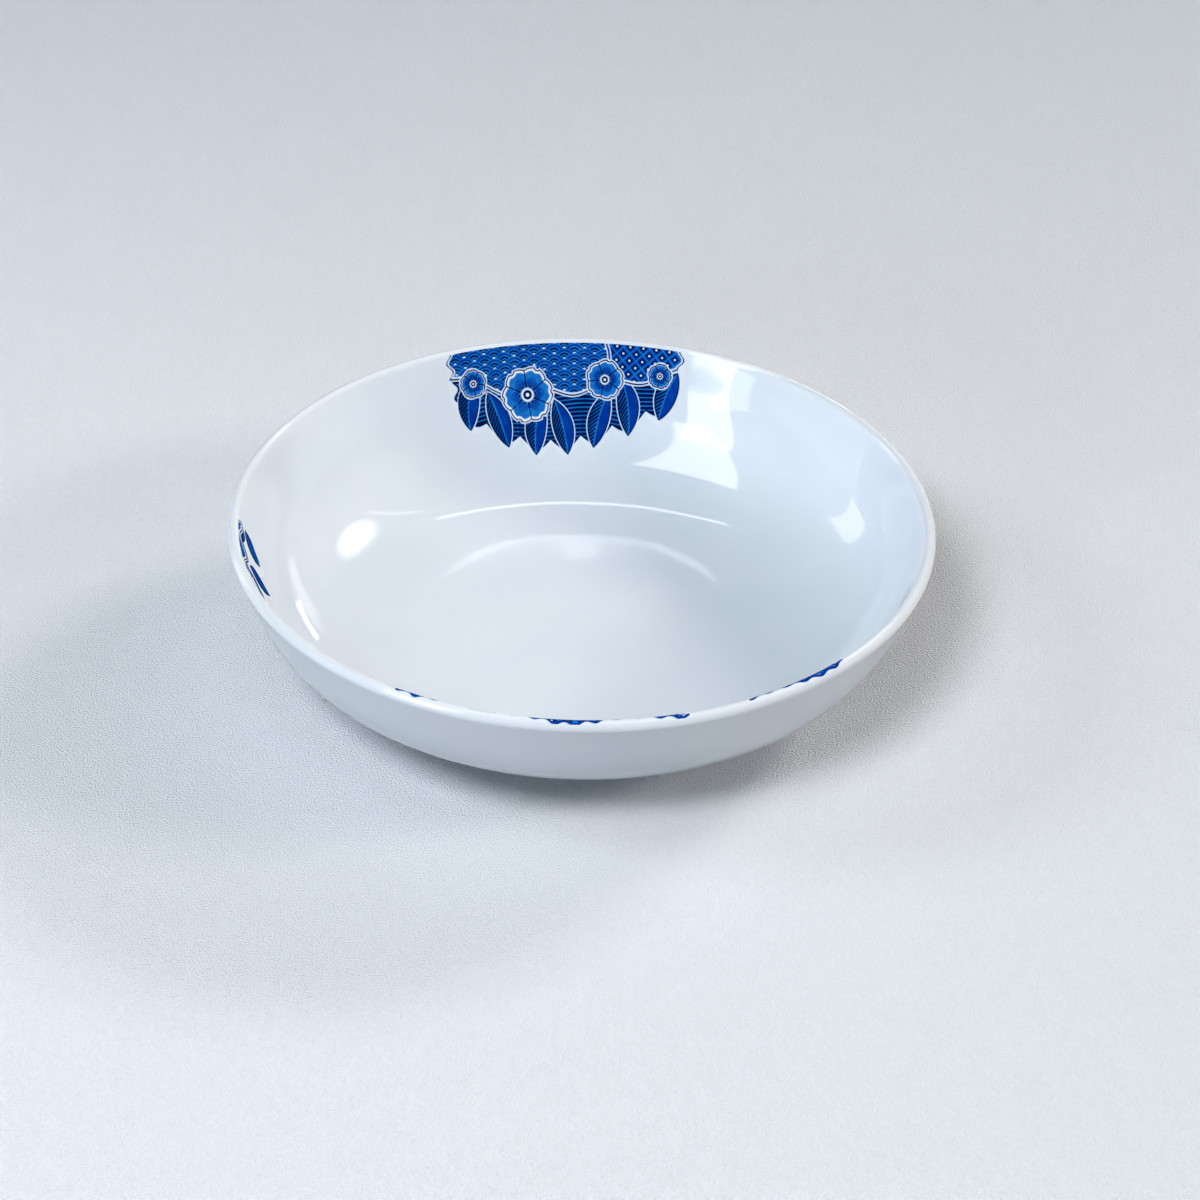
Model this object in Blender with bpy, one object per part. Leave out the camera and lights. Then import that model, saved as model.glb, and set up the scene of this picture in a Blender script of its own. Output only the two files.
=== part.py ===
"""Soup plate: a deep porcelain coupe on a foot ring, with five transfer prints fired on inside its rim.

Metres, +Z up. The origin is the middle of the foot ring, on the table. The plate is turned about Z,
and -Y is its front.
"""

import math

import bmesh
import bpy
import numpy as np

# The bowl's inside, which everything else follows
RIM_RADIUS = 0.1025          # outermost edge of the lip
WELL_DEPTH = 0.0375          # crest of the lip down to the middle of the well
WALL_LEAN = math.radians(21.5)  # of the wall just under the lip, from upright
WALL_REACH = 0.0278          # how far the wall keeps that lean before it turns in
WELL_REACH = 0.0944          # how far the level well reaches out before it turns up

# Thickness of the ware
LIP_THICKNESS = 0.0036
FLOOR_THICKNESS = 0.0048
TAPER_LENGTH = 0.065         # stretch of wall over which the lip's thickness grows to the floor's

# Foot ring
FOOT_RADIUS = 0.0592         # outer edge of the ring at the table
FOOT_WIDTH = 0.0042
FOOT_RECESS = 0.0037         # the underside's middle stands this far off the table
FOOT_DRAFT = math.radians(14)
FOOT_EDGE = 0.0009           # rounding of the two edges of the standing face
FOOT_ROOT = 0.0022           # blend between the ring and the belly

# Transfer prints: width along the rim, drop in the middle and at the ends, and depth of a lobe
PRINT_THICKNESS = 0.00006
PRINT_GAP = 0.00015          # clears the flat facets of the ware behind
BACK_LAP = -0.0016           # how far a print's cut edge goes over the crest; below the crest if negative
FRONT_LAP = 0.0011
BACK_WIDTH = 0.082
BACK_DROP = 0.034
BACK_END_DROP = 0.016
BACK_LOBE_DEPTH = 0.006
LEFT_WIDTH = 0.032
LEFT_DROP = 0.019
LEFT_END_DROP = 0.009
LEFT_LOBE_DEPTH = 0.004
FRONT_LEFT_WIDTH = 0.022
FRONT_LEFT_DROP = 0.015
FRONT_LEFT_END_DROP = 0.008
FRONT_LEFT_LOBE_DEPTH = 0.004
FRONT_WIDTH = 0.054
FRONT_DROP = 0.029
FRONT_END_DROP = 0.013
FRONT_LOBE_DEPTH = 0.005
RIGHT_WIDTH = 0.034
RIGHT_DROP = 0.024
RIGHT_END_DROP = 0.011
RIGHT_LOBE_DEPTH = 0.005

# Fineness of the mesh
SEGMENTS = 96
WALL_STEPS = 14
LIP_STEPS = 8
EDGE_STEPS = 3
PRINT_LOBE_COLUMNS = 6
PRINT_LIP_STEP = 0.0009      # widest spacing of a print's rows round the lip
PRINT_WALL_ROWS = 4
CURVE_SAMPLES = 400          # for reading sizes off the curves, not for faces
WELD = 0.00001               # seam and poles of the turned body
CREASE = math.radians(40)    # edges sharper than this are shaded sharp

HEIGHT = FOOT_RECESS + FLOOR_THICKNESS + WELL_DEPTH
LIP_RADIUS = LIP_THICKNESS / 2
LIP_CENTRE = np.array([RIM_RADIUS - LIP_RADIUS, HEIGHT - LIP_RADIUS])
LIP_INNER_ANGLE = math.pi - WALL_LEAN
LIP_OUTER_ANGLE = -WALL_LEAN
LIP_RUN = LIP_RADIUS * (LIP_INNER_ANGLE - math.pi / 2)  # from the crest round to the inner wall

PORCELAIN = (0.80, 0.83, 0.86, 1.0)
GLAZE_ROUGHNESS = 0.08
COBALT = (0.015, 0.05, 0.26, 1.0)
PRINT_ROUGHNESS = 0.12


def clear_scene():
    for obj in list(bpy.data.objects):
        bpy.data.objects.remove(obj, do_unlink=True)


def material(name, colour, roughness):
    """A Principled material of one colour."""
    made = bpy.data.materials.new(name)
    made.use_nodes = True
    shader = made.node_tree.nodes["Principled BSDF"]
    shader.inputs["Base Color"].default_value = colour
    shader.inputs["Roughness"].default_value = roughness
    shader.inputs["Metallic"].default_value = 0.0
    made.diffuse_color = colour
    return made


def add_object(name, mesh, finish):
    mesh.materials.append(finish)
    obj = bpy.data.objects.new(name, mesh)
    bpy.context.collection.objects.link(obj)
    return obj


def around_lip(angle):
    """Directions out of the lip's round section at these angles, as (radius, height) pairs."""
    return np.stack([np.cos(angle), np.sin(angle)], axis=-1)


def inner_wall(count):
    """Points down the inside from lip to well, and the directions into the ware there.

    The curve is one cubic: it leaves the lip along the wall's lean and meets the axis level.
    """
    start = LIP_CENTRE + LIP_RADIUS * around_lip(LIP_INNER_ANGLE)
    end = np.array([0.0, HEIGHT - WELL_DEPTH])
    wall_handle = start - WALL_REACH * np.array([math.sin(WALL_LEAN), math.cos(WALL_LEAN)])
    well_handle = end + np.array([WELL_REACH, 0.0])
    step = np.linspace(0.0, 1.0, count)[:, None]
    rest = 1.0 - step
    points = (rest**3 * start + 3 * rest**2 * step * wall_handle
              + 3 * rest * step**2 * well_handle + step**3 * end)
    along = (rest**2 * (wall_handle - start) + 2 * rest * step * (well_handle - wall_handle)
             + step**2 * (end - well_handle))
    along = along / np.linalg.norm(along, axis=1)[:, None]
    into_ware = np.stack([-along[:, 1], along[:, 0]], axis=1)
    return points, into_ware


def lengths(points):
    """Distance travelled along a row of points, from its first."""
    steps = np.linalg.norm(np.diff(points, axis=0), axis=1)
    return np.concatenate([[0.0], np.cumsum(steps)])


def outer_wall(count):
    """Points down the outside: the inner wall moved out by a thickness that grows smoothly."""
    points, into_ware = inner_wall(count)
    share = np.clip(lengths(points) / TAPER_LENGTH, 0.0, 1.0)
    ease = share**2 * (3.0 - 2.0 * share)
    thickness = LIP_THICKNESS + (FLOOR_THICKNESS - LIP_THICKNESS) * ease
    return points + into_ware * thickness[:, None]


def meets_belly(edge_radius, slope):
    """Where a foot face that rises from edge_radius, leaning by slope, meets the belly."""
    belly = outer_wall(CURVE_SAMPLES)
    ahead = belly[:, 0] - (edge_radius + belly[:, 1] * slope)
    height = np.interp(0.0, ahead[::-1], belly[::-1, 1])
    return np.array([edge_radius + height * slope, height])


def towards(start, end, distance):
    """The point at this distance from start, on the way to end."""
    way = np.asarray(end) - np.asarray(start)
    return np.asarray(start) + way * (distance / np.linalg.norm(way))


def blend(before, corner, after, count):
    """A rounded corner: a parabola that leaves along one side and arrives along the other."""
    step = np.linspace(0.0, 1.0, count + 1)[:, None]
    return (1 - step) ** 2 * before + 2 * (1 - step) * step * corner + step**2 * after


def plate_profile():
    """The plate's section, from the middle of the well over the lip and foot to the middle below."""
    inside, _ = inner_wall(WALL_STEPS + 1)
    lip_angles = np.linspace(LIP_INNER_ANGLE, LIP_OUTER_ANGLE, LIP_STEPS + 1)
    lip = LIP_CENTRE + LIP_RADIUS * around_lip(lip_angles)

    slope = math.tan(FOOT_DRAFT)
    inner_edge = FOOT_RADIUS - FOOT_WIDTH
    outer_root = meets_belly(FOOT_RADIUS, slope)
    inner_root = meets_belly(inner_edge, -slope)
    outer_corner = np.array([FOOT_RADIUS, 0.0])
    inner_corner = np.array([inner_edge, 0.0])

    belly = outer_wall(CURVE_SAMPLES)
    before_root = belly[belly[:, 0] > outer_root[0] + FOOT_ROOT]
    after_root = belly[belly[:, 0] < inner_root[0] - FOOT_ROOT]
    coarse = outer_wall(WALL_STEPS + 1)
    outside = coarse[1:][coarse[1:, 0] > before_root[-1, 0] + FOOT_ROOT]
    underside = coarse[coarse[:, 0] < after_root[0, 0] - FOOT_ROOT]

    foot = np.concatenate([
        blend(before_root[-1], outer_root, towards(outer_root, outer_corner, FOOT_ROOT), EDGE_STEPS),
        blend(towards(outer_corner, outer_root, FOOT_EDGE), outer_corner,
              towards(outer_corner, inner_corner, FOOT_EDGE), EDGE_STEPS),
        blend(towards(inner_corner, outer_corner, FOOT_EDGE), inner_corner,
              towards(inner_corner, inner_root, FOOT_EDGE), EDGE_STEPS),
        blend(towards(inner_root, inner_corner, FOOT_ROOT), inner_root, after_root[0], EDGE_STEPS),
    ])
    return np.concatenate([inside[::-1], lip[1:], outside, foot, underside])


def add_plate_body():
    """The porcelain ware: one section turned about the axis."""
    section = plate_profile()
    points = [(radius, 0.0, height) for radius, height in section]
    edges = [(index, index + 1) for index in range(len(points) - 1)]
    mesh = bpy.data.meshes.new("plate_body")
    mesh.from_pydata(points, edges, [])
    body = add_object("plate_body", mesh, material("white_porcelain", PORCELAIN, GLAZE_ROUGHNESS))
    turn = body.modifiers.new("turned", "SCREW")
    turn.angle = 2 * math.pi
    turn.steps = SEGMENTS
    turn.render_steps = SEGMENTS
    turn.use_merge_vertices = True
    turn.merge_threshold = WELD
    turn.use_smooth_shade = True


def inside_at(depth):
    """Points on the glaze this far from the crest, measured down the inside, and directions off it.

    A negative depth lies over the crest, on the outer half of the lip.
    """
    off_lip = around_lip(math.pi / 2 + np.minimum(depth, LIP_RUN) / LIP_RADIUS)
    wall, into_ware = inner_wall(CURVE_SAMPLES)
    travelled = LIP_RUN + lengths(wall)
    on_wall = np.stack([np.interp(depth, travelled, wall[:, axis]) for axis in (0, 1)], axis=-1)
    off_wall = -np.stack([np.interp(depth, travelled, into_ware[:, axis]) for axis in (0, 1)], axis=-1)
    on_lip = (depth <= LIP_RUN)[..., None]
    points = np.where(on_lip, LIP_CENTRE + LIP_RADIUS * off_lip, on_wall)
    return points, np.where(on_lip, off_lip, off_wall)


def scalloped_edge(across, drop, end_drop, lobes, lobe_depth, skew):
    """Depth of a print's lower edge: a swag from end to end, with rounded lobes hanging from it."""
    swag = end_drop + (drop - end_drop) * np.sin(math.pi * across**skew)
    return swag + lobe_depth * np.abs(np.sin(math.pi * lobes * across))


def add_print(name, finish, azimuth, width, lap, drop, end_drop, lobes, lobe_depth, skew):
    """One transfer print: a thin sheet that lies on the glaze from its cut edge at the lip downwards."""
    columns = lobes * PRINT_LOBE_COLUMNS
    across = np.linspace(0.0, 1.0, columns + 1)
    turn = math.radians(azimuth) + (0.5 - across) * width / RIM_RADIUS
    lower = scalloped_edge(across, drop, end_drop, lobes, lobe_depth, skew)
    cut = -lap
    lip_rows = max(0, math.ceil((LIP_RUN - cut) / PRINT_LIP_STEP))
    round_lip = np.linspace(cut, max(cut, LIP_RUN), lip_rows + 1)[:, None]
    down_wall = np.linspace(0.0, 1.0, PRINT_WALL_ROWS + 1)[1:, None]
    depth = np.concatenate([
        np.repeat(round_lip, columns + 1, axis=1),
        round_lip[-1] + down_wall * (lower - round_lip[-1]),
    ])
    section, off = inside_at(depth)

    def sheet(lift):
        radius, height = np.moveaxis(section + off * lift, -1, 0)
        return np.stack([radius * np.cos(turn), radius * np.sin(turn), height], axis=-1)

    shape = bmesh.new()
    back = [[shape.verts.new(point) for point in row] for row in sheet(PRINT_GAP)]
    faces = []
    for upper_row, lower_row in zip(back, back[1:]):
        for i in range(columns):
            faces.append(shape.faces.new((upper_row[i], upper_row[i + 1], lower_row[i + 1], lower_row[i])))
    front = sheet(PRINT_GAP + PRINT_THICKNESS)
    lifted = bmesh.ops.extrude_face_region(shape, geom=faces, use_keep_orig=True)
    moved = {tuple(vert.co): vert for vert in lifted["geom"] if isinstance(vert, bmesh.types.BMVert)}
    for row, points in zip(back, front):
        for vert, point in zip(row, points):
            moved[tuple(vert.co)].co = point
    bmesh.ops.recalc_face_normals(shape, faces=shape.faces)
    mesh = bpy.data.meshes.new(name)
    shape.to_mesh(mesh)
    shape.free()
    mesh.shade_smooth()
    mesh.set_sharp_from_angle(angle=CREASE)
    add_object(name, mesh, finish)


def add_prints():
    ink = material("cobalt_print", COBALT, PRINT_ROUGHNESS)
    add_print("back_print", ink, azimuth=94, width=BACK_WIDTH, lap=BACK_LAP,
              drop=BACK_DROP, end_drop=BACK_END_DROP,
              lobes=7, lobe_depth=BACK_LOBE_DEPTH, skew=0.85)
    add_print("left_print", ink, azimuth=192, width=LEFT_WIDTH, lap=BACK_LAP,
              drop=LEFT_DROP, end_drop=LEFT_END_DROP,
              lobes=3, lobe_depth=LEFT_LOBE_DEPTH, skew=1.0)
    add_print("front_left_print", ink, azimuth=247, width=FRONT_LEFT_WIDTH, lap=FRONT_LAP,
              drop=FRONT_LEFT_DROP, end_drop=FRONT_LEFT_END_DROP,
              lobes=2, lobe_depth=FRONT_LEFT_LOBE_DEPTH, skew=1.0)
    add_print("front_print", ink, azimuth=272, width=FRONT_WIDTH, lap=FRONT_LAP,
              drop=FRONT_DROP, end_drop=FRONT_END_DROP,
              lobes=5, lobe_depth=FRONT_LOBE_DEPTH, skew=1.2)
    add_print("right_print", ink, azimuth=306, width=RIGHT_WIDTH, lap=FRONT_LAP,
              drop=RIGHT_DROP, end_drop=RIGHT_END_DROP,
              lobes=3, lobe_depth=RIGHT_LOBE_DEPTH, skew=0.9)


clear_scene()
add_plate_body()
add_prints()
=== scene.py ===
"""Soup plate: a deep white porcelain coupe with five blue transfer prints inside its rim.

Metres, +Z up. The origin is the middle of the foot ring, on the table, and -Y is the plate's front.
"""

import math

import bpy
import numpy as np
from mathutils import Matrix, Quaternion, Vector


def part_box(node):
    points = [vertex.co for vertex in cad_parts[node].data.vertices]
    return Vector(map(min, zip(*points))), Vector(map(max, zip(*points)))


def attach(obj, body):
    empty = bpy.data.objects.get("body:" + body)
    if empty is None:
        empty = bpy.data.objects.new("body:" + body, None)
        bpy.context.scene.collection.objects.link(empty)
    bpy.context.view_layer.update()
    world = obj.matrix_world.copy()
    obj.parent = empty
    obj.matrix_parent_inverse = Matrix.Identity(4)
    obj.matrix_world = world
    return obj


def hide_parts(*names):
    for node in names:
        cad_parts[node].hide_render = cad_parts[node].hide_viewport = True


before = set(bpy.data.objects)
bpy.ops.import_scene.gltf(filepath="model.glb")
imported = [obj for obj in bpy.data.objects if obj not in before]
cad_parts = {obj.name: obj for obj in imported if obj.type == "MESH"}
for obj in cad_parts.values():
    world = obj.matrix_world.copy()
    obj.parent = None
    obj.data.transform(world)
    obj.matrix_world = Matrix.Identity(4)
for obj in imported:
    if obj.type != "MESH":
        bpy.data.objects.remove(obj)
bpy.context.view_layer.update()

# Plate body
# The ware is one piece of hard white porcelain, pressed over a former and turned, with a foot ring
# below. It is dipped whole in a clear bluish glaze, and the foot's standing face is wiped bare of
# glaze, so that the plate doesn't stick to the kiln shelf.
plate_low, plate_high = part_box("plate_body")
RIM_RADIUS = plate_high.x
HEIGHT = plate_high.z - plate_low.z
WELL_DEPTH = 0.0375          # crest of the lip down to the middle of the well
WALL_LEAN = math.radians(21.5)  # of the wall just under the lip, from upright
WALL_REACH = 0.0278          # how far the wall keeps that lean before it turns in
WELL_REACH = 0.0944          # how far the level well reaches out before it turns up
LIP_THICKNESS = 0.0036
FLOOR_THICKNESS = 0.0048
TAPER_LENGTH = 0.065         # stretch of wall over which the lip's thickness grows to the floor's
FOOT_RADIUS = 0.0592
FOOT_WIDTH = 0.0042
FOOT_DRAFT = math.radians(14)
FOOT_EDGE = 0.0009           # rounding of the standing face's two edges
FOOT_ROOT = 0.0022           # blend between the ring and the belly
BARE_HEIGHT = 0.00045        # glaze is wiped off the foot up to here
# The next width also spreads the painted shade in the creases at the foot's roots.
POOL_AND_SHADE_WIDTH = 0.0050          # how far glaze gathered at the foot's roots spreads
THIN_WIDTH = 0.0022          # how far the glaze runs thin on each side of the crest
ROOT_CLEARANCE = 1.4         # the belly's own rows end this many blends from the ring
TURN_STEPS = 288
WALL_ROWS = 96
FINE_ROWS = 1920             # for reading places off the wall's curve, not for faces
LIP_ROWS = 20
EDGE_ROWS = 7

LIP_RADIUS = LIP_THICKNESS / 2
LIP_CENTRE = np.array([RIM_RADIUS - LIP_RADIUS, HEIGHT - LIP_RADIUS])
LIP_INNER_ANGLE = math.pi - WALL_LEAN
LIP_RUN = LIP_RADIUS * (LIP_INNER_ANGLE - math.pi / 2)  # from the crest round to the inner wall

GLAZE_WHITE = (0.735, 0.785, 0.838, 1.0)
GLAZE_COOL = (0.705, 0.762, 0.822, 1.0)
# The next colour is pooled glaze with painted shade: darker and bluer, for the creases at the foot's roots.
GLAZE_POOLED_AND_SHADE = (0.560, 0.650, 0.700, 1.0)
GLAZE_THIN = (0.765, 0.805, 0.850, 1.0)
BARE_BODY = (0.760, 0.745, 0.715, 1.0)
BARE_GRAIN = (0.680, 0.660, 0.630, 1.0)
IRON_SPECK = (0.330, 0.315, 0.300, 1.0)
GLAZE_ROUGHNESS = 0.045
BARE_ROUGHNESS = 0.62
GLAZE_IOR = 1.52
CLOUD_SCALE = 34.0           # these count the marks of each pattern along a metre
SPECK_SCALE = 95.0
RIPPLE_SCALE = 150.0
BARE_SCALE = 1400.0
CLOUD_SPAN = (0.35, 0.68)    # of the noise, from the white to the cool tone
SPECK_REACH = (0.016, 0.007)  # a speck's edge and its core, as shares of its cell
SPECK_RARITY = (0.90, 0.99)  # few cells hold a speck
RIPPLE_HEIGHT = 0.00002
RIPPLE_STRENGTH = 0.5


def around_lip(angle):
    """Directions out of the lip's round section at these angles, as (radius, height) pairs."""
    return np.stack([np.cos(angle), np.sin(angle)], axis=-1)


def inner_wall(count):
    """Points down the inside from lip to well, and the directions into the ware there.

    One cubic Bezier: it leaves the lip along the wall's lean and meets the axis level. The direction
    into the ware is its tangent turned by a quarter.
    """
    start = LIP_CENTRE + LIP_RADIUS * around_lip(LIP_INNER_ANGLE)
    end = np.array([0.0, HEIGHT - WELL_DEPTH])
    wall_handle = start - WALL_REACH * np.array([math.sin(WALL_LEAN), math.cos(WALL_LEAN)])
    well_handle = end + np.array([WELL_REACH, 0.0])
    step = np.linspace(0.0, 1.0, count)[:, None]
    rest = 1.0 - step
    points = (rest**3 * start + 3 * rest**2 * step * wall_handle
              + 3 * rest * step**2 * well_handle + step**3 * end)
    along = (rest**2 * (wall_handle - start) + 2 * rest * step * (well_handle - wall_handle)
             + step**2 * (end - well_handle))
    along = along / np.linalg.norm(along, axis=1)[:, None]
    return points, np.stack([-along[:, 1], along[:, 0]], axis=1)


def travelled(points):
    """Distance along a row of points from its first: the running sum of the steps' lengths."""
    steps = np.linalg.norm(np.diff(points, axis=0), axis=1)
    return np.concatenate([[0.0], np.cumsum(steps)])


def smooth_step(share):
    """A rise from 0 to 1 as share goes from 0 to 1, level at both ends: 3 s^2 - 2 s^3."""
    share = np.clip(share, 0.0, 1.0)
    return share**2 * (3.0 - 2.0 * share)


def outer_wall(count):
    """Points down the outside: the inner wall moved out by a thickness that grows by a smooth step."""
    points, into_ware = inner_wall(count)
    grown = smooth_step(travelled(points) / TAPER_LENGTH)
    return points + into_ware * (LIP_THICKNESS + (FLOOR_THICKNESS - LIP_THICKNESS) * grown)[:, None]


def meets_belly(edge_radius, slope):
    """Where a foot face that rises from edge_radius, leaning by slope, crosses the belly."""
    belly = outer_wall(FINE_ROWS)
    ahead = belly[:, 0] - (edge_radius + belly[:, 1] * slope)
    height = np.interp(0.0, ahead[::-1], belly[::-1, 1])
    return np.array([edge_radius + height * slope, height])


def rounded(corner, before, after, reach):
    """A rounded corner: a parabola from reach before the corner, on one side, to reach after it."""
    arms = [np.asarray(end) - corner for end in (before, after)]
    start, stop = [corner + arm * (reach / np.linalg.norm(arm)) for arm in arms]
    step = np.linspace(0.0, 1.0, EDGE_ROWS + 1)[:, None]
    return (1 - step) ** 2 * start + 2 * (1 - step) * step * corner + step**2 * stop


def plate_section():
    """The section from the middle of the well, up over the lip, down the outside and round the foot."""
    inside, _ = inner_wall(WALL_ROWS + 1)
    lip_angle = np.linspace(LIP_INNER_ANGLE, -WALL_LEAN, LIP_ROWS + 1)
    lip = LIP_CENTRE + LIP_RADIUS * around_lip(lip_angle)
    belly = outer_wall(WALL_ROWS + 1)

    slope = math.tan(FOOT_DRAFT)
    outer_root = meets_belly(FOOT_RADIUS, slope)
    inner_root = meets_belly(FOOT_RADIUS - FOOT_WIDTH, -slope)
    outer_corner = np.array([FOOT_RADIUS, 0.0])
    inner_corner = np.array([FOOT_RADIUS - FOOT_WIDTH, 0.0])
    outside = belly[belly[:, 0] > outer_root[0] + ROOT_CLEARANCE * FOOT_ROOT]
    underside = belly[belly[:, 0] < inner_root[0] - ROOT_CLEARANCE * FOOT_ROOT]
    foot = np.concatenate([
        rounded(outer_root, outside[-1], outer_corner, FOOT_ROOT),
        rounded(outer_corner, outer_root, inner_corner, FOOT_EDGE),
        rounded(inner_corner, outer_corner, inner_root, FOOT_EDGE),
        rounded(inner_root, inner_corner, underside[0], FOOT_ROOT),
    ])
    return np.concatenate([inside[::-1], lip[1:], outside[1:], foot, underside]), [outer_root, inner_root]


def turned(section, turns):
    """Points and faces of a section carried round the axis: (r cos t, r sin t, z) on a grid.

    The section's first and last points lie on the axis, and each is one vertex with a fan of triangles.
    """
    angle = np.linspace(0.0, 2 * math.pi, turns, endpoint=False)
    between = section[1:-1]
    grid = np.stack([
        between[:, :1] * np.cos(angle),
        between[:, :1] * np.sin(angle),
        np.repeat(between[:, 1:], turns, axis=1),
    ], axis=-1)
    ends = [[[0.0, 0.0, section[0, 1]]], [[0.0, 0.0, section[-1, 1]]]]
    points = np.concatenate([ends[0], grid.reshape(-1, 3), ends[1]])
    here = 1 + np.arange(len(between) * turns).reshape(len(between), turns)
    beside = np.roll(here, -1, axis=1)
    walls = np.stack([here[:-1], here[1:], beside[1:], beside[:-1]], axis=-1).reshape(-1, 4)
    top = np.stack([np.zeros_like(here[0]), here[0], beside[0]], axis=-1)
    bottom = np.stack([np.full_like(here[0], len(points) - 1), beside[-1], here[-1]], axis=-1)
    return points, top.tolist() + walls.tolist() + bottom.tolist()


def smooth_object(name, points, faces):
    """A smooth-shaded mesh object at the origin, with its place in its points."""
    mesh = bpy.data.meshes.new(name)
    mesh.from_pydata(points.tolist(), [], faces)
    mesh.shade_smooth()
    obj = bpy.data.objects.new(name, mesh)
    bpy.context.scene.collection.objects.link(obj)
    return obj


def store(mesh, name, values):
    """Keeps one number for each vertex, for a material to read."""
    mesh.attributes.new(name, "FLOAT", "POINT").data.foreach_set("value", values.astype(np.float32))


def thin_glaze(height):
    """How thin the glaze has run at these heights: a bell curve about the crest."""
    return np.exp(-(((HEIGHT - height) / THIN_WIDTH) ** 2))


def add_node(tree, kind, inputs, **settings):
    """A node with its settings, and its inputs set to a value or linked to a socket."""
    made = tree.nodes.new(kind)
    for name, value in settings.items():
        setattr(made, name, value)
    for name, value in inputs.items():
        if isinstance(value, bpy.types.NodeSocket):
            tree.links.new(value, made.inputs[name])
        else:
            made.inputs[name].default_value = value
    return made


def stored(tree, name):
    """The number that store kept under this name."""
    return add_node(tree, "ShaderNodeAttribute", {}, attribute_name=name).outputs["Fac"]


def mixed(tree, share, first, second):
    """The colour that goes from first to second as share goes from 0 to 1."""
    made = add_node(tree, "ShaderNodeMix", {}, data_type="RGBA")
    for socket, value in ((made.inputs[0], share), (made.inputs[6], first), (made.inputs[7], second)):
        if isinstance(value, bpy.types.NodeSocket):
            tree.links.new(value, socket)
        else:
            socket.default_value = value
    return made.outputs[2]


def eased(tree, value, low, high):
    """0 where value is at low or beyond it, 1 at high, and a smooth step between."""
    return add_node(tree, "ShaderNodeMapRange", {"Value": value, "From Min": low, "From Max": high},
                    interpolation_type="SMOOTHSTEP").outputs["Result"]


def glaze(name):
    """Glazed porcelain: a cloudy cool white with a few iron specks, under a faintly rippled clear gloss.

    It is whiter on the crest, where the glaze runs thin. Returns the material, its node tree, the
    sockets of its place and colour, and its shader.
    """
    made = bpy.data.materials.new(name)
    made.use_nodes = True
    tree = made.node_tree
    shader = tree.nodes["Principled BSDF"]
    place = tree.nodes.new("ShaderNodeTexCoord").outputs["Object"]
    clouds = add_node(tree, "ShaderNodeTexNoise", {"Vector": place, "Scale": CLOUD_SCALE, "Detail": 4.0})
    white = mixed(tree, eased(tree, clouds.outputs["Fac"], *CLOUD_SPAN), GLAZE_WHITE, GLAZE_COOL)
    white = mixed(tree, stored(tree, "glaze_thin"), white, GLAZE_THIN)
    cells = add_node(tree, "ShaderNodeTexVoronoi", {"Vector": place, "Scale": SPECK_SCALE})
    rare = add_node(tree, "ShaderNodeSeparateColor", {"Color": cells.outputs["Color"]})
    fleck = add_node(tree, "ShaderNodeMath", {0: eased(tree, cells.outputs["Distance"], *SPECK_REACH),
                                              1: eased(tree, rare.outputs["Red"], *SPECK_RARITY)},
                     operation="MULTIPLY")
    white = mixed(tree, fleck.outputs[0], white, IRON_SPECK)
    ripple = add_node(tree, "ShaderNodeTexNoise", {"Vector": place, "Scale": RIPPLE_SCALE, "Detail": 1.0})
    bump = add_node(tree, "ShaderNodeBump", {"Height": ripple.outputs["Fac"], "Distance": RIPPLE_HEIGHT,
                                             "Strength": RIPPLE_STRENGTH})
    tree.links.new(bump.outputs["Normal"], shader.inputs["Normal"])
    shader.inputs["IOR"].default_value = GLAZE_IOR
    return made, tree, place, white, shader


def plate_finish():
    """The glaze on the ware: pooled and bluer at the foot's roots, with painted shade darkening those
    creases, and wiped off the standing face.
    """
    made, tree, place, white, shader = glaze("porcelain_glaze")
    # pooled glaze and painted shade at the foot's roots
    white = mixed(tree, stored(tree, "glaze_pool_and_shade"), white, GLAZE_POOLED_AND_SHADE)
    grain = add_node(tree, "ShaderNodeTexNoise", {"Vector": place, "Scale": BARE_SCALE, "Detail": 3.0})
    body = mixed(tree, grain.outputs["Fac"], BARE_BODY, BARE_GRAIN)
    bare = stored(tree, "glaze_wiped")
    tree.links.new(mixed(tree, bare, white, body), shader.inputs["Base Color"])
    rough = add_node(tree, "ShaderNodeMapRange", {"Value": bare, "To Min": GLAZE_ROUGHNESS,
                                                  "To Max": BARE_ROUGHNESS})
    tree.links.new(rough.outputs["Result"], shader.inputs["Roughness"])
    return made


section, foot_roots = plate_section()
points, faces = turned(section, TURN_STEPS)
plate_body = smooth_object("porcelain_plate", points, faces)
across = np.hypot(points[:, 0], points[:, 1])
level = points[:, 2]
# Pooled glaze with painted shade: darker and bluer near the foot's roots, on the outside.
off_roots = np.min([np.hypot(across - root[0], level - root[1]) for root in foot_roots], axis=0)
on_underside = level < np.interp(across, *inner_wall(WALL_ROWS)[0][::-1].T) - LIP_RADIUS
pool_and_shade = np.exp(-((off_roots / POOL_AND_SHADE_WIDTH) ** 2))
store(plate_body.data, "glaze_pool_and_shade", pool_and_shade * on_underside)
store(plate_body.data, "glaze_thin", thin_glaze(level))
store(plate_body.data, "glaze_wiped", np.clip(2.0 - 2.0 * level / BARE_HEIGHT, 0.0, 1.0)
      * (across > FOOT_RADIUS - FOOT_WIDTH - FOOT_EDGE))
plate_body.data.materials.append(plate_finish())
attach(plate_body, "root")
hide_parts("plate_body")

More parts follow.
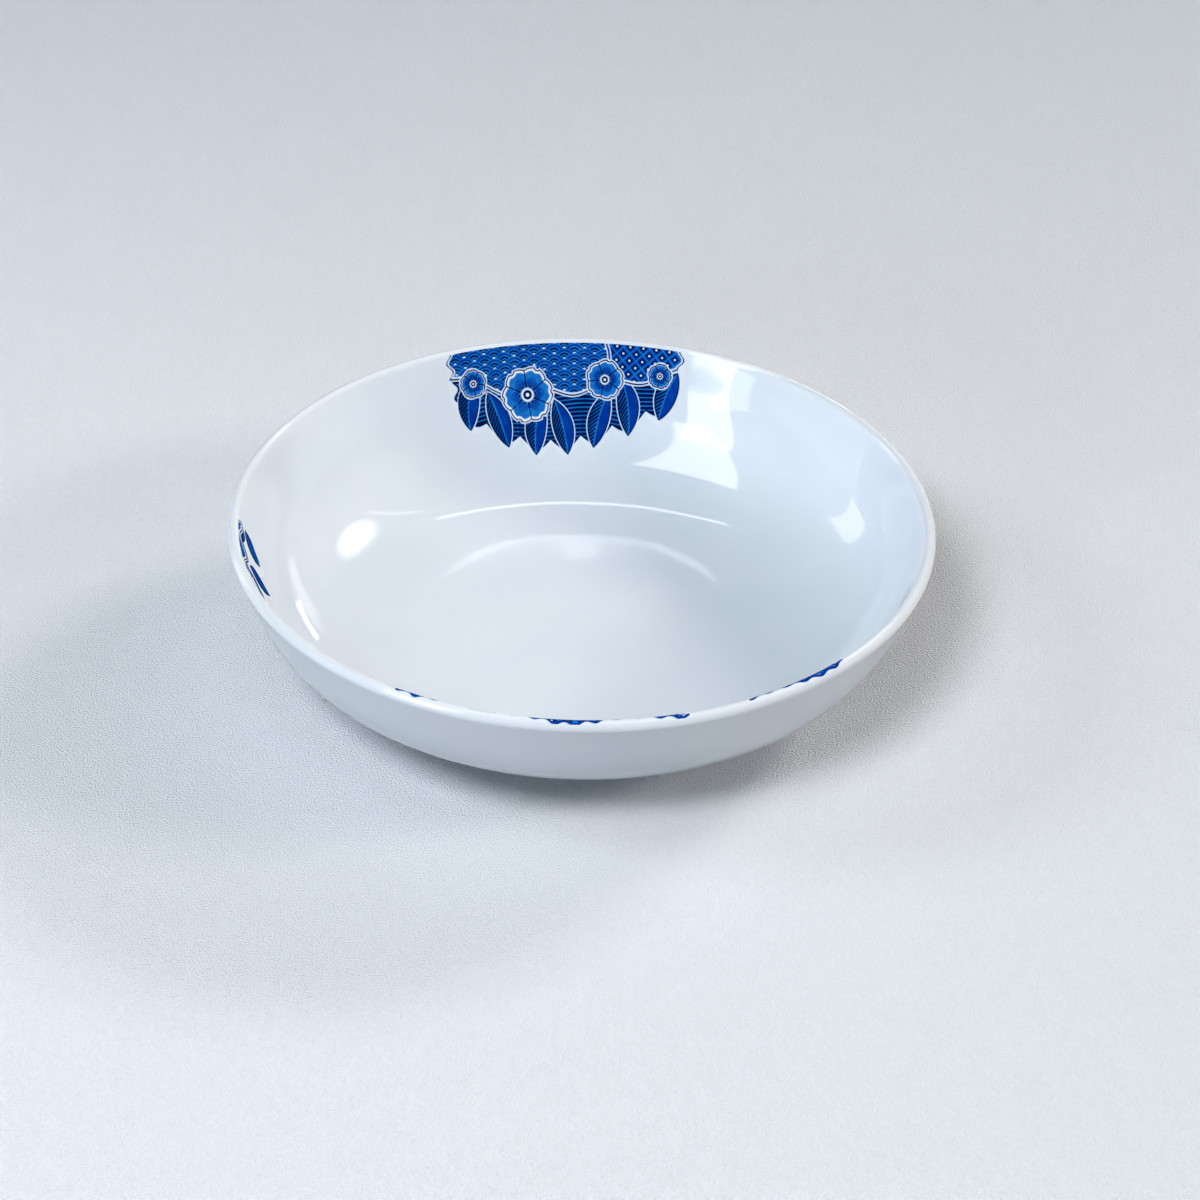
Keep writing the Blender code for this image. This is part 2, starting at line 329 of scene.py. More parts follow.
# Transfer prints
# Five sheets of blue decoration, screen-printed in cobalt inks on backing paper, cut out, slid wet onto
# the glaze from the rim down the wall, and fired until the inks sink into the glaze. Only the marks show:
# wave scales and a lattice under the rim, blossoms on them, and a hatched skirt of hanging leaves.
MM = 0.001                   # the artwork is drawn in millimetres on the flat sheet
FILM_LIFT = 0.00003          # the fired film stands this far off the glaze
FILM_SINK = 0.00002          # and its underside lies this far in it
FILM_STEP = 0.00028          # spacing of the film's grid, finer than the drawing's lines
FILM_EDGE = math.radians(40)  # the film's cut edge is shaded sharp
LINE = 0.42                  # width of a drawn line
MARGIN = 0.4                 # bare film along the cut
TOP_BAND = 1.3               # width of the blue line along the frayed upper edge
END_INSET = 1.4              # the ground stops this far from the print's ends
END_WAVE = (0.9, 1.1)        # how far its ends wave, and the wave's radians for each millimetre down
FRAY_WAVES = ((1.3, 5.2), (0.6, 0.9))  # two waves of the frayed edge: heights, lengths over two pi
FRAY_PHASE = 6
GROUND_WAVE = 1.5            # how far the ground's lower edge waves
GROUND_ACROSS = 0.9          # turns a drop into a distance across that sloping edge
GROUND_GAP = 1.0             # white band along its border
GROUND_LINE = 0.44           # dark line at the band's outer edge
SEAM_WAVE = (2.0, 4.0)       # how far the seam waves, and the wave's length over two pi
SEAM_GAP = 0.75              # half the white gap and half the blue line in it
SEAM_LINE = 0.33
SKIRT_HANG = 0.62            # share of the lobes' depth that the skirt reaches into
SKIRT_ACROSS = 0.85          # as for the ground's edge
SKIRT_INSET = 1.0            # the skirt's ends lie this far within the ground's
HATCH_PITCH = 1.35
HATCH_WAVE = (0.6, 5.0)      # height of its lines' wave, and the wave's length over two pi
HATCH_OUTLINE = 0.5
LEAF_CLEARANCE = 0.9         # from a leaf's tip to the scalloped edge
LEAF_SHARE = 0.66            # the most that a leaf takes of the depth
LEAF_SPREAD = 0.33           # half a leaf's width and its lean, as shares of a lobe
LEAF_LEAN = 0.2
LEAF_SWING = (1.6, 0.3)      # how many leans its base lies back and its tip ahead
LEAF_BOW = 0.9
LEAF_OUTLINE = 0.4
LEAF_RIB = 0.24              # half the rib's width
VEIN_PITCH = 1.45
VEIN_WIDTH = 0.46
VEIN_SLANT = 1.1
SCALE_RINGS = (0.36, 0.66, 0.97)  # as shares of a scale's radius, as are the next two
SCALE_BAND = (0.51, 0.15)    # the dark band's middle and half its width
SCALE_EYE = 0.17
LOZENGE = 0.27               # half its side and the dot's radius, as shares of the lattice's pitch
LATTICE_DOT = 0.13
PETAL_ROUND = 1.06           # a petal's radius, of the blossom's times its half sector's sine
PETAL_NOTCH = (1.03, 0.10)   # place and radius; down to HEART_EYE these are shares of the blossom's
PETAL_DISC = 0.4             # joins the petals
PETAL_PARTING = 0.36         # the lines between petals start here
PETAL_EDGE = 0.13            # white margin
BLUSH_START = 0.24           # pale blue from here to the margin
FAN_START = 0.30
FAN_REACH = (0.66, 0.9)      # of the middle vein, and how much it falls off to the sides
DOT_PLACE = 0.31
DOT_SIZE = 0.045
HEART = 0.17
HEART_EYE = 0.07
PETAL_VEINS = 9              # in the fan on each petal
PETAL_VEIN = 0.16            # half its width in millimetres
DOT_LEAST = 0.1              # millimetres that a dot has beyond its share
BLOSSOM_TURN = (0.3, 5)      # in radians, and how it grows with the blossom's place
INK_FEATHER = 0.06           # half the soft edge that firing gives a line
INK_BLEED = 0.55             # how far a blue haze spreads out of the lines into the glaze
INK_CLOUD_SCALE = 260.0      # uneven spots of ink along a metre
INK_CLOUD_SPAN = (0.38, 0.70)

INK_TONES = {
    "pale": ((0.006, 0.138, 0.500, 1.0), (0.016, 0.190, 0.560, 1.0)),
    "full": ((0.001, 0.030, 0.258, 1.0), (0.002, 0.050, 0.325, 1.0)),
    "dark": ((0.0006, 0.006, 0.052, 1.0), (0.0012, 0.012, 0.090, 1.0)),
}
INK_HAZE = (0.500, 0.640, 0.800, 1.0)
FILM_SPECULAR = 0.0          # the inks are drawn matt beside the glaze


def inside_at(depth):
    """Section points on the glaze this far from the crest, measured down the inside, and directions off it.

    Round the lip the point turns with the depth, and below it follows the wall. A negative depth lies
    over the crest, on the outer half of the lip.
    """
    off_lip = around_lip(math.pi / 2 + np.minimum(depth, LIP_RUN) / LIP_RADIUS)
    wall, into_ware = inner_wall(FINE_ROWS)
    reach = LIP_RUN + travelled(wall)
    on_wall = np.stack([np.interp(depth, reach, wall[:, axis]) for axis in (0, 1)], axis=-1)
    off_wall = -np.stack([np.interp(depth, reach, into_ware[:, axis]) for axis in (0, 1)], axis=-1)
    on_lip = (depth <= LIP_RUN)[..., None]
    return np.where(on_lip, LIP_CENTRE + LIP_RADIUS * off_lip, on_wall), np.where(on_lip, off_lip, off_wall)


def closed_film(top, bottom):
    """Points and faces of a thin closed sheet between two like grids, with a strip round its border."""
    rows, columns = top.shape[:2]
    upper = np.arange(rows * columns).reshape(rows, columns)
    lower = upper + rows * columns
    front = np.stack([upper[:-1, :-1], upper[1:, :-1], upper[1:, 1:], upper[:-1, 1:]], axis=-1)
    back = np.stack([lower[:-1, :-1], lower[:-1, 1:], lower[1:, 1:], lower[1:, :-1]], axis=-1)
    border = np.concatenate([upper[:-1, 0], upper[-1, :-1], upper[:0:-1, -1], upper[0, :0:-1]])
    ahead = np.roll(border, -1)
    strip = np.stack([ahead, border, border + rows * columns, ahead + rows * columns], axis=-1)
    faces = np.concatenate([front.reshape(-1, 4), back.reshape(-1, 4), strip])
    return np.concatenate([top.reshape(-1, 3), bottom.reshape(-1, 3)]), faces.tolist()


def bars(value, pitch, width):
    """Distance to even bars across a value: half a width on either side of each multiple of the pitch."""
    return np.abs(value - pitch * np.round(value / pitch)) - width / 2


def ring(distance, width):
    """Distance to the line of this width that runs just inside a shape's edge."""
    return np.abs(distance + width / 2) - width / 2


def lay(inks, shape, **drawn):
    """Clears a shape in every ink and draws in it: max cuts one distance by another, and min joins two."""
    for name in inks:
        inks[name] = np.maximum(inks[name], -shape)
        if name in drawn:
            inks[name] = np.minimum(inks[name], np.maximum(shape, drawn[name]))


def draw_hatch(inks, x, y, shape, pitch):
    """A dark ground with close level lines left pale, which wave gently with x, in a dark outline."""
    lines = bars(y + HATCH_WAVE[0] * np.sin(x / HATCH_WAVE[1]), pitch, LINE)
    drawn = np.minimum(-lines, ring(shape, HATCH_OUTLINE))
    lay(inks, shape, pale=shape, full=drawn, dark=drawn)


def draw_leaf(inks, x, y, base, tip, half_width, bow):
    """A pointed leaf between two circle arcs, bowed aside by a parabola, with a rib and slanting veins.

    Its left half, which has the veins, is in the dark ink, and its right half in the full one.
    """
    way = np.subtract(tip, base)
    length = np.hypot(*way)
    along = ((x - base[0]) * way[0] + (y - base[1]) * way[1]) / length
    aside = ((x - base[0]) * way[1] - (y - base[1]) * way[0]) / length
    share = np.clip(along / length, 0.0, 1.0)
    aside = aside - bow * 4 * share * (1 - share)
    radius = (length**2 / 4 + half_width**2) / (2 * half_width)
    shape = np.hypot(along - length / 2, np.abs(aside) + radius - half_width) - radius
    veins = np.maximum(bars(along - VEIN_SLANT * np.abs(aside), VEIN_PITCH, VEIN_WIDTH), aside)
    lines = np.minimum(np.abs(aside) - LEAF_RIB, veins)
    edge = ring(shape, LEAF_OUTLINE)
    lay(inks, shape - LINE)
    lay(inks, shape, pale=shape, full=np.minimum(-lines, edge),
        dark=np.minimum(np.maximum(-lines, aside), edge))


def draw_scales(inks, x, y, shape, radius):
    """Overlapping discs in rows half a radius apart, each with rings, a dark band and a white eye.

    Each row is set over by a radius and lies on top of the one above, so a point takes the first disc
    that holds it, from the lowest row up.
    """
    step = radius / 2
    away = np.full(x.shape, np.nan)
    for back in range(4):
        row = np.floor(y / step) + 2 - back
        over = x - radius * (row % 2)
        over = over - 2 * radius * np.round(over / (2 * radius))
        here = np.hypot(over, y - row * step)
        away = np.where(np.isnan(away) & (here < radius), here, away)
    away = np.nan_to_num(away, nan=radius)
    lines = np.min([np.abs(away - share * radius) for share in SCALE_RINGS], axis=0) - LINE / 2
    band = np.abs(away - SCALE_BAND[0] * radius) - SCALE_BAND[1] * radius + LINE / 2
    iris = away - SCALE_RINGS[0] * radius + LINE / 2
    lay(inks, shape, pale=shape, full=-lines, dark=np.minimum(band, iris))
    lay(inks, np.maximum(shape, away - SCALE_EYE * radius))


def draw_lattice(inks, x, y, shape, pitch):
    """A diamond lattice of pale bars, with a dark lozenge and a white dot in each opening."""
    slant, cross = (x + y) / math.sqrt(2), (x - y) / math.sqrt(2)
    fret = np.minimum(bars(slant, pitch, LINE), bars(cross, pitch, LINE))
    off = np.abs([bars(slant - pitch / 2, pitch, 0.0), bars(cross - pitch / 2, pitch, 0.0)])
    lay(inks, shape, pale=shape, full=-fret, dark=np.max(off, axis=0) - LOZENGE * pitch)
    lay(inks, np.maximum(shape, np.hypot(*off) - LATTICE_DOT * pitch))


def draw_blossom(inks, x, y, middle, radius, petals, turn):
    """A white-edged blossom: one notched petal folded round the middle, outlined, with a fan of veins.

    The petal is a circle that overlaps its neighbours, cut by a small one at its tip. A ring of dots
    stands about the heart.
    """
    right, down = x - middle[0], y - middle[1]
    away = np.hypot(right, down)
    sector = 2 * math.pi / petals
    angle = np.arctan2(down, right) - turn
    fold = angle - sector * np.round(angle / sector)
    out, side = away * np.cos(fold), away * np.sin(fold)
    reach = PETAL_ROUND * radius * math.sin(sector / 2)
    petal = np.hypot(out - (radius - reach), side) - reach
    notch = PETAL_NOTCH[1] * radius - np.hypot(out - PETAL_NOTCH[0] * radius, side)
    shape = np.maximum(np.minimum(petal, away - PETAL_DISC * radius), notch)
    parting = np.abs(away * np.sin(np.abs(fold) - sector / 2)) - LINE / 2
    outline = np.minimum(ring(shape, LINE), np.maximum(parting, PETAL_PARTING * radius - away))
    fan = PETAL_VEINS * fold / sector
    veins = np.abs(fan - np.round(fan)) * away * sector / PETAL_VEINS - PETAL_VEIN
    fan_tip = radius * (FAN_REACH[0] - FAN_REACH[1] * np.abs(fold / sector) ** 2)
    veins = np.maximum(veins, np.maximum(away - fan_tip, FAN_START * radius - away))
    blush = np.maximum(shape + PETAL_EDGE * radius, BLUSH_START * radius - away)
    half = angle - sector / 2 * np.round(2 * angle / sector)
    off_dots = np.hypot(away * np.cos(half) - DOT_PLACE * radius, away * np.sin(half))
    dots = off_dots - DOT_SIZE * radius - DOT_LEAST
    heart = away - HEART * radius
    lay(inks, shape - LINE)
    lay(inks, shape, dark=outline, full=veins, pale=blush)
    lay(inks, dots, dark=dots)
    lay(inks, heart, dark=np.maximum(heart, HEART_EYE * radius - away))


def draw_print(x, y, width, swag, lower, art):
    """The three inks of a print, as distances to their marks: skirt, leaves, ground and blossoms in turn.

    swag and lower give the depth of the swag and of the scalloped edge at a share of the width. Of the
    art, skirt and ground are shares of the swag's depth, lobes counts the scallops, leaf is the longest
    leaf, top is where the upper edge starts and how far it frays, wave and phase bend the ground's edge,
    seam parts its scales from its lattice, scale and pitch size these two, and each blossom has its place,
    depth, radius and petals.
    """
    inks = {name: np.full(x.shape, width) for name in INK_TONES}
    share = np.clip(x / width + 0.5, 0.0, 1.0)
    ends = np.abs(x) - width / 2 + END_INSET + END_WAVE[0] * np.sin(END_WAVE[1] * y)

    skirt_edge = art["skirt"] * swag(share) + SKIRT_HANG * (lower(share) - swag(share))
    skirt = np.maximum(SKIRT_ACROSS * (y - skirt_edge), ends + SKIRT_INSET)
    draw_hatch(inks, x, y, skirt, pitch=HATCH_PITCH)

    lobes = art["lobes"]
    for lobe in [*range(1, lobes, 2), *range(0, lobes, 2)]:
        side = 1 if lobe % 2 else -1
        middle = (lobe + 0.5) / lobes
        low = lower(middle) - LEAF_CLEARANCE
        length = min(art["leaf"], LEAF_SHARE * low)
        lean = LEAF_LEAN * width / lobes * side
        hang = (middle - 0.5) * width
        base = (hang - LEAF_SWING[0] * lean, low - length)
        tip = (hang + LEAF_SWING[1] * lean, low)
        draw_leaf(inks, x, y, base, tip, half_width=LEAF_SPREAD * width / lobes, bow=LEAF_BOW * side)

    waves = np.sin(2 * math.pi * (x / art["wave"] + art["phase"]))
    ground_edge = art["ground"] * swag(share) + GROUND_WAVE * waves
    ground = np.maximum(GROUND_ACROSS * (y - ground_edge), ends)
    seam = x - art["seam"] * width - SEAM_WAVE[0] * np.sin(y / SEAM_WAVE[1])
    lay(inks, ground - LINE)
    draw_scales(inks, x, y, np.maximum(ground, seam), art["scale"])
    draw_lattice(inks, x, y, np.maximum(ground, -seam), art["pitch"])
    lay(inks, np.maximum(np.abs(seam) - SEAM_GAP, ground), full=np.abs(seam) - SEAM_LINE)
    lay(inks, ring(ground, GROUND_GAP), dark=ring(ground, GROUND_LINE))

    for place, down, radius, petals in art["blossoms"]:
        middle = ((place - 0.5) * width, down * swag(place))
        turn = BLOSSOM_TURN[0] + BLOSSOM_TURN[1] * place
        draw_blossom(inks, x, y, middle, radius, petals, turn)

    start, fray = art["top"]
    (swell, swell_length), (nick, nick_length) = FRAY_WAVES
    waves = swell * np.sin(x / swell_length + FRAY_PHASE * art["phase"]) + nick * np.sin(x / nick_length)
    top = start + fray * waves
    band = np.maximum(top - y, y - top - TOP_BAND)
    lay(inks, band, full=band)
    sheet = np.max([np.abs(x) - width / 2, y - lower(share), top - y], axis=0) + MARGIN
    return {name: np.maximum(ink, sheet) for name, ink in inks.items()}


def print_finish():
    """Cobalt inks on the glaze: three tones laid over each other, each a little uneven, with a blue haze."""
    made, tree, place, colour, shader = glaze("cobalt_print_glaze")
    uneven = add_node(tree, "ShaderNodeTexNoise", {"Vector": place, "Scale": INK_CLOUD_SCALE, "Detail": 5.0})
    tone = eased(tree, uneven.outputs["Fac"], *INK_CLOUD_SPAN)
    colour = mixed(tree, eased(tree, stored(tree, "ink_pale"), INK_BLEED, 0.0), colour, INK_HAZE)
    for name, (ink, worn) in INK_TONES.items():
        cover = eased(tree, stored(tree, "ink_" + name), INK_FEATHER, -INK_FEATHER)
        colour = mixed(tree, cover, colour, mixed(tree, tone, ink, worn))
    tree.links.new(colour, shader.inputs["Base Color"])
    shader.inputs["Roughness"].default_value = GLAZE_ROUGHNESS
    shader.inputs["Specular IOR Level"].default_value = FILM_SPECULAR
    return made


def add_print(name, node, finish, azimuth, width, lap, drop, end_drop, lobe_depth, skew, **art):
    """One print: a film from its cut edge at the lip down to its scalloped edge, with inks on its points.

    The lower edge is a swag, a half sine from end to end pulled aside by skew, with rounded lobes that
    hang from it, each half a sine too.
    """
    def swag(share):
        return end_drop + (drop - end_drop) * np.sin(math.pi * share**skew)

    def lower(share):
        return swag(share) + lobe_depth * np.abs(np.sin(math.pi * art["lobes"] * share))

    columns = round(width / FILM_STEP)
    rows = round((drop + lobe_depth + lap) / FILM_STEP)
    share, down = np.meshgrid(np.linspace(0.0, 1.0, columns + 1), np.linspace(0.0, 1.0, rows + 1))
    depth = -lap + down * (lower(share) + lap)
    turn = math.radians(azimuth) + (0.5 - share) * width / RIM_RADIUS
    section, off = inside_at(depth)

    def lifted(lift):
        radius, height = np.moveaxis(section + off * lift, -1, 0)
        return np.stack([radius * np.cos(turn), radius * np.sin(turn), height], axis=-1)

    points, faces = closed_film(lifted(FILM_LIFT), lifted(-FILM_SINK))
    piece = smooth_object(name, points, faces)
    mesh = piece.data
    mesh.set_sharp_from_angle(angle=FILM_EDGE)
    inks = draw_print((share - 0.5) * width / MM, depth / MM, width / MM,
                      lambda place: swag(place) / MM, lambda place: lower(place) / MM, art)
    for ink, distance in inks.items():
        store(mesh, "ink_" + ink, np.tile(distance.ravel(), 2))
    store(mesh, "glaze_thin", thin_glaze(points[:, 2]))

    flat = np.tile(np.stack([share, 1.0 - down], axis=-1).reshape(-1, 2), (2, 1))
    corners = np.empty(len(mesh.loops), dtype=np.int32)
    mesh.loops.foreach_get("vertex_index", corners)
    mesh.uv_layers.new(name="OFBake").data.foreach_set("uv", flat[corners].astype(np.float32).ravel())

    mesh.materials.append(finish)
    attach(piece, "root")
    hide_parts(node)


cobalt = print_finish()
add_print("back_transfer", "back_print", cobalt, azimuth=94, width=0.082, lap=-0.0016, drop=0.034,
          end_drop=0.016, lobe_depth=0.006, skew=0.85, lobes=7, skirt=0.97, leaf=19,
          top=(0.0, 0.0), ground=0.52, wave=24, phase=0.1, seam=0.16, scale=3.4, pitch=3.1,
          blossoms=[(0.34, 0.54, 9.2, 6), (0.67, 0.44, 6.6, 5), (0.11, 0.50, 4.8, 5), (0.90, 0.50, 4.2, 5)])
add_print("left_transfer", "left_print", cobalt, azimuth=192, width=0.032, lap=-0.0016, drop=0.019,
          end_drop=0.009, lobe_depth=0.004, skew=1.0, lobes=3, skirt=0.25, leaf=15,
          top=(0.0, 0.0), ground=0.24, wave=14, phase=0.3, seam=0.6, scale=3.0, pitch=2.8, blossoms=[])
add_print("front_left_transfer", "front_left_print", cobalt, azimuth=247, width=0.022, lap=0.0011,
          drop=0.015, end_drop=0.008, lobe_depth=0.004, skew=1.0, lobes=2, skirt=0.84, leaf=9,
          top=(0.9, 1.0), ground=0.50, wave=14, phase=0.6, seam=0.6, scale=3.0, pitch=2.8,
          blossoms=[(0.50, 0.46, 4.2, 5)])
add_print("front_transfer", "front_print", cobalt, azimuth=272, width=0.054, lap=0.0011, drop=0.029,
          end_drop=0.013, lobe_depth=0.005, skew=1.2, lobes=5, skirt=0.84, leaf=16,
          top=(-0.2, 1.0), ground=0.50, wave=20, phase=0.6, seam=-0.2, scale=3.2, pitch=3.0,
          blossoms=[(0.58, 0.50, 7.8, 6), (0.20, 0.50, 4.6, 5)])
add_print("right_transfer", "right_print", cobalt, azimuth=306, width=0.034, lap=0.0011, drop=0.024,
          end_drop=0.011, lobe_depth=0.005, skew=0.9, lobes=3, skirt=0.84, leaf=14,
          top=(-0.4, 0.6), ground=0.50, wave=16, phase=0.0, seam=0.55, scale=3.2, pitch=3.0,
          blossoms=[(0.42, 0.50, 6.0, 6)])

# Floor and backdrop
# One wide sheet of pale card with a fine pebbled grain. It lies under the plate and curves up behind it, and
# painted shade greys it towards the back. It throws less light up at the plate than its paleness suggests.
FLOOR_REACH = 6.0
SWEEP_START = 2.60           # where the sheet leaves the table, behind the plate
SWEEP_RADIUS = 0.45
BACKDROP_HEIGHT = 1.02
SWEEP_ROWS = 24
CARD = (0.815, 0.835, 0.872, 1.0)
CARD_HOLLOW = (0.785, 0.805, 0.842, 1.0)
# painted shade: the sheet's tone far back, and the stretch over which that shade comes in
CARD_BACK_SHADE = (0.700, 0.745, 0.800, 1.0)
BACK_SHADE_SPAN = (0.0, 0.7)       # the sheet greys from the plate back to here
CARD_BOUNCE = (0.480, 0.500, 0.520, 1.0)  # what it throws back at the plate
CARD_ROUGHNESS = 0.75
CARD_SPECULAR = 0.0          # quite matt
PEBBLE_SCALE = 1700.0        # pebbles along a metre
PEBBLE_SPAN = (0.62, 0.38)   # of the noise, from their tops to the hollows
PEBBLE_HEIGHT = 0.0012
PEBBLE_STRENGTH = 0.7


def card_sheet():
    """Points and faces of the sheet: a level line, a quarter circle and an upright, carried along X."""
    angle = np.linspace(0.0, math.pi / 2, SWEEP_ROWS + 1)
    along = np.concatenate([[-FLOOR_REACH], SWEEP_START + SWEEP_RADIUS * np.sin(angle),
                            [SWEEP_START + SWEEP_RADIUS]])
    height = np.concatenate([[0.0], SWEEP_RADIUS * (1 - np.cos(angle)), [BACKDROP_HEIGHT]])
    sides = np.array([-FLOOR_REACH, FLOOR_REACH])
    grid = np.stack(np.broadcast_arrays(sides, along[:, None], height[:, None]), axis=-1)
    left = 2 * np.arange(len(along) - 1)
    return grid.reshape(-1, 3), np.stack([left, left + 1, left + 3, left + 2], axis=-1).tolist()


def in_view(tree):
    """1 for what the camera sees, by itself or in the glaze, and 0 for light on its way between surfaces."""
    ray = tree.nodes.new("ShaderNodeLightPath").outputs
    seen = add_node(tree, "ShaderNodeMath", {0: ray["Is Camera Ray"], 1: ray["Is Glossy Ray"]},
                    operation="ADD")
    return add_node(tree, "ShaderNodeMath", {0: seen.outputs[0], 1: ray["Is Transmission Ray"]},
                    operation="ADD", use_clamp=True).outputs[0]


def card_finish():
    """Matt card with small pebbles, a little deeper in tone between them, and with painted shade greying it
    towards the back.
    """
    made = bpy.data.materials.new("pale_card")
    made.use_nodes = True
    tree = made.node_tree
    shader = tree.nodes["Principled BSDF"]
    place = tree.nodes.new("ShaderNodeTexCoord").outputs["Object"]
    grain = add_node(tree, "ShaderNodeTexNoise", {"Vector": place, "Scale": PEBBLE_SCALE, "Detail": 1.0})
    tone = mixed(tree, eased(tree, grain.outputs["Fac"], *PEBBLE_SPAN), CARD, CARD_HOLLOW)
    axes = add_node(tree, "ShaderNodeSeparateXYZ", {"Vector": place})
    # painted shade darkens the sheet towards the back
    tone = mixed(tree, eased(tree, axes.outputs["Y"], *BACK_SHADE_SPAN), tone, CARD_BACK_SHADE)
    tree.links.new(mixed(tree, in_view(tree), CARD_BOUNCE, tone), shader.inputs["Base Color"])
    bump = add_node(tree, "ShaderNodeBump", {"Height": grain.outputs["Fac"], "Distance": PEBBLE_HEIGHT,
                                             "Strength": PEBBLE_STRENGTH})
    tree.links.new(bump.outputs["Normal"], shader.inputs["Normal"])
    shader.inputs["Roughness"].default_value = CARD_ROUGHNESS
    shader.inputs["Specular IOR Level"].default_value = CARD_SPECULAR
    return made


card = smooth_object("card", *card_sheet())
card.data.materials.append(card_finish())

# Studio light
# Six soft lamps light the plate: a main one and a low one in front on the left, one on the left, a weak one
# overhead, and two warm ones on the right. The glaze mirrors other things in the dim room: a bent window
# bank on the left, panes and a small window round the back, and thin tubes and a rod over the backdrop.
LAMP_AIM = Vector((0.0, 0.0, 0.03))
WARM = (1.07, 1.0, 0.93)
COOL = (0.90, 1.0, 1.12)
PLAIN = (0.96, 1.0, 1.03)
FADE_PANES = 3               # steps in which a lamp's edge fades
PANE_GAP = 0.01              # each pane stands this much nearer than the last
HORIZON = (0.10, 0.01)       # rise at which the room's pale band ends and is full, as a sine
ROOM_PALE = (0.66, 0.70, 0.76, 1.0)
ROOM_DIM = (0.030, 0.033, 0.037, 1.0)


def soft_box(name, bearing, rise, distance, width, height, watts, lean=0.0, colour=PLAIN,
             shape="RECTANGLE"):
    """A flat lamp at a bearing from +X towards +Y and a rise above level, facing the plate.

    It leans in its own plane by an angle. All angles are in degrees.
    """
    turn, lift = math.radians(bearing), math.radians(rise)
    away = Vector((math.cos(lift) * math.cos(turn), math.cos(lift) * math.sin(turn), math.sin(lift)))
    data = bpy.data.lights.new(name, "AREA")
    data.shape = shape
    data.size = width
    data.size_y = height
    data.energy = watts
    data.color = colour
    lamp = bpy.data.objects.new(name, data)
    lamp.location = LAMP_AIM + away * distance
    lamp.rotation_mode = "QUATERNION"
    leant = Quaternion((0.0, 0.0, 1.0), math.radians(lean))
    lamp.rotation_quaternion = away.to_track_quat("Z", "Y") @ leant
    bpy.context.scene.collection.objects.link(lamp)
    return lamp


def light_only(*placing, **settings):
    """A soft box that lights the plate and the floor, and stays out of the glaze's reflections."""
    soft_box(*placing, **settings).visible_glossy = False


def mirror_only(name, bearing, rise, distance, width, height, watts, fade=1.0, **settings):
    """A lamp that only shows in the glaze, with an edge that fades from its full size to this share of it.

    Where it fades it is a few panes of one brightness, each smaller than the last and a little nearer.
    """
    panes = FADE_PANES if fade < 1.0 else 1
    for pane, size in enumerate(np.linspace(1.0, fade, panes)):
        lamp = soft_box(name, bearing, rise, distance - PANE_GAP * pane, size * width, size * height,
                        watts * size**2 / panes, **settings)
        lamp.visible_diffuse = False


light_only("front_left_lamp", -119, 52.0, 1.6, 0.50, 0.50, 15.8)
light_only("low_front_lamp", -118, 14.0, 2.5, 0.60, 0.50, 10.0, colour=COOL)
light_only("left_lamp", 180, 35.0, 2.0, 0.62, 0.62, 9.6, colour=COOL)
light_only("top_lamp", -110, 80.0, 2.0, 0.60, 0.60, 2.2, colour=COOL)
light_only("right_lamp", -4, 24.0, 3.5, 0.80, 0.45, 40.0, colour=WARM)
light_only("back_right_lamp", 39, 26.0, 3.5, 0.85, 0.45, 53.0, colour=WARM)
mirror_only("left_bank", -166.3, 63.5, 1.3, 0.33, 1.80, 9.5, lean=52.1, fade=0.94)
mirror_only("left_bank_foot", -141.5, 33.0, 1.3, 0.39, 1.32, 9.0, lean=17.6, fade=0.9)
mirror_only("left_bank_corner", -142.2, 8.7, 1.3, 0.335, 0.123, 0.42, lean=26.6)
mirror_only("small_window", 69.5, 42.8, 1.2, 0.29, 0.17, 0.95, lean=-15.6, fade=0.6, shape="ELLIPSE")
mirror_only("low_slit", 68.0, 19.0, 0.633, 0.277, 0.072, 0.11, lean=18.9, fade=0.7)
mirror_only("low_pane", 75.3, 14.1, 0.663, 0.098, 0.074, 0.09, lean=-4.0)
mirror_only("far_left_pane", 145.2, 19.8, 1.0, 0.210, 0.700, 1.3, lean=25.5, fade=0.85)
mirror_only("back_tube", 90.0, 45.6, 1.4, 0.207, 0.012, 0.060)
mirror_only("back_right_tube", 68.0, 49.0, 1.54, 0.365, 0.012, 0.06)
mirror_only("upper_tube", 84.0, 61.0, 1.16, 0.26, 0.010, 0.025)
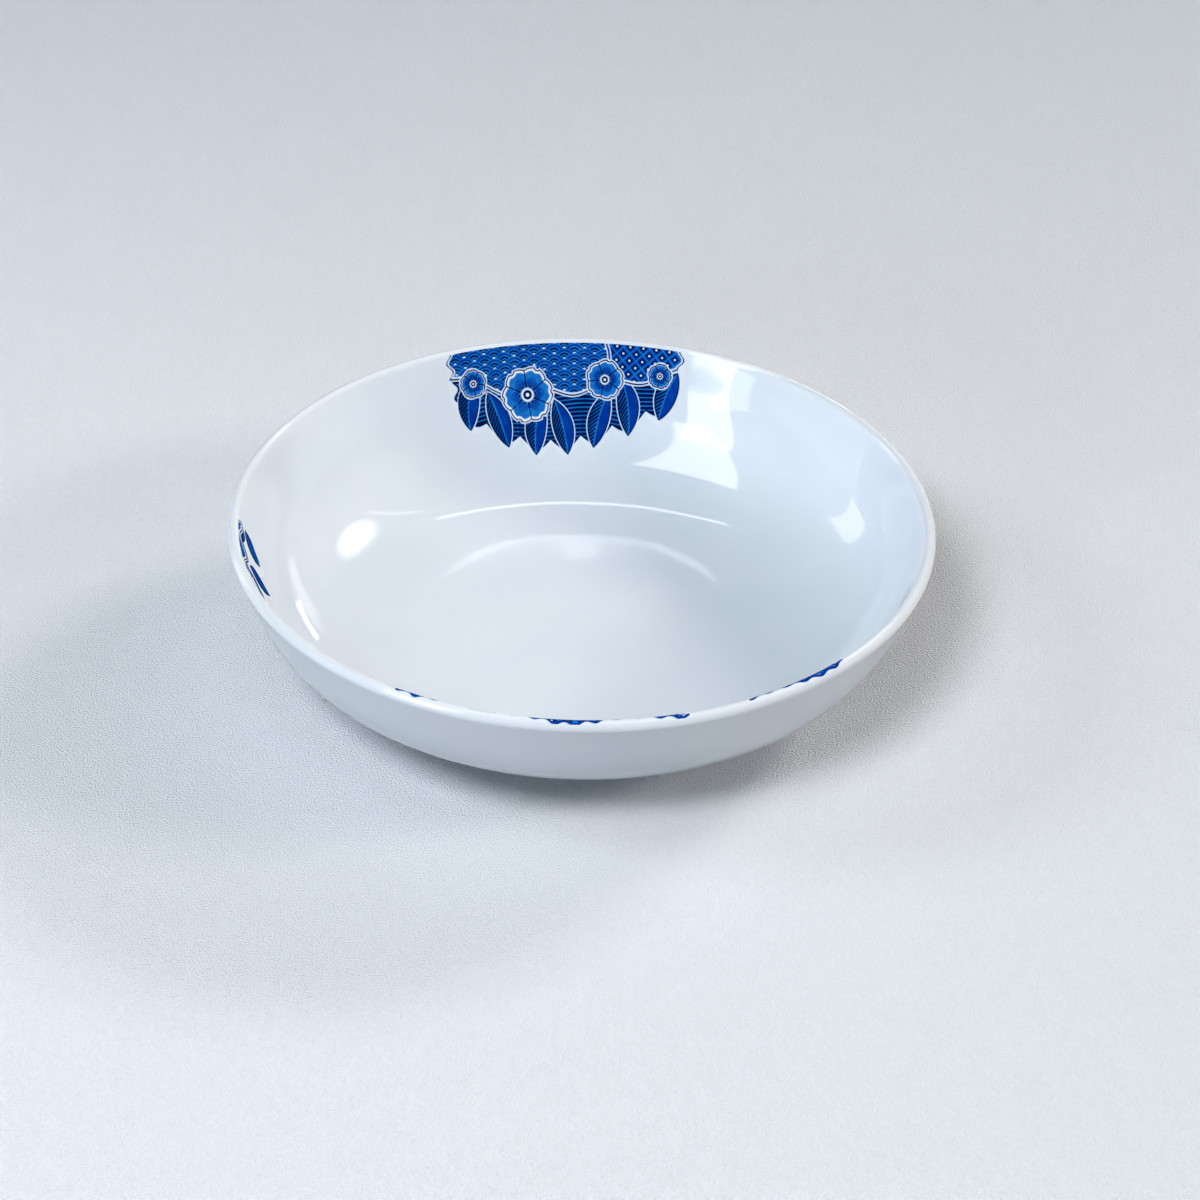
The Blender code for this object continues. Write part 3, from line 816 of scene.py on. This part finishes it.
mirror_only("far_rod", 90.0, 38.0, 1.4, 0.002, 0.060, 0.0030)


def dim_room():
    """The room: it lights the plate dimly and evenly, and is pale at the horizon to eye and glaze."""
    made = bpy.data.worlds.new("room")
    made.use_nodes = True
    tree = made.node_tree
    towards = tree.nodes.new("ShaderNodeTexCoord").outputs["Generated"]
    axes = add_node(tree, "ShaderNodeSeparateXYZ", {"Vector": towards})
    horizon = eased(tree, axes.outputs["Z"], *HORIZON)
    pale = add_node(tree, "ShaderNodeMath", {0: horizon, 1: in_view(tree)}, operation="MULTIPLY")
    shade = mixed(tree, pale.outputs[0], ROOM_DIM, ROOM_PALE)
    tree.links.new(shade, tree.nodes["Background"].inputs["Color"])
    return made


bpy.context.scene.world = dim_room()

# Camera
# It stands in front of the plate and looks down on it through a long lens, turned a little about its axis,
# with the picture's middle a little below the rim's.
CAMERA_RISE = math.radians(33.11)
CAMERA_DISTANCE = 0.820      # from the middle of the rim, at the crest
CAMERA_ROLL = math.radians(1.502)
AIM_RIGHT = 0.00568          # the picture's middle, from the rim's middle, across the view
AIM_UP = -0.02578
LENS = 84.65
SENSOR = 36.0

rim_middle = Vector((0.0, 0.0, HEIGHT))
towards_camera = Vector((0.0, -math.cos(CAMERA_RISE), math.sin(CAMERA_RISE)))
view_up = Vector((0.0, math.sin(CAMERA_RISE), math.cos(CAMERA_RISE)))
camera_data = bpy.data.cameras.new("camera")
camera_data.lens = LENS
camera_data.sensor_width = SENSOR
camera = bpy.data.objects.new("camera", camera_data)
camera.location = rim_middle + towards_camera * CAMERA_DISTANCE
aim = rim_middle + Vector((AIM_RIGHT, 0.0, 0.0)) + view_up * AIM_UP
look = (aim - camera.location).to_track_quat("-Z", "Y").to_matrix()
camera.rotation_mode = "QUATERNION"
camera.rotation_quaternion = (look @ Matrix.Rotation(CAMERA_ROLL, 3, "Z")).to_quaternion()
bpy.context.scene.collection.objects.link(camera)
bpy.context.scene.camera = camera
bpy.context.scene.view_settings.view_transform = "Standard"
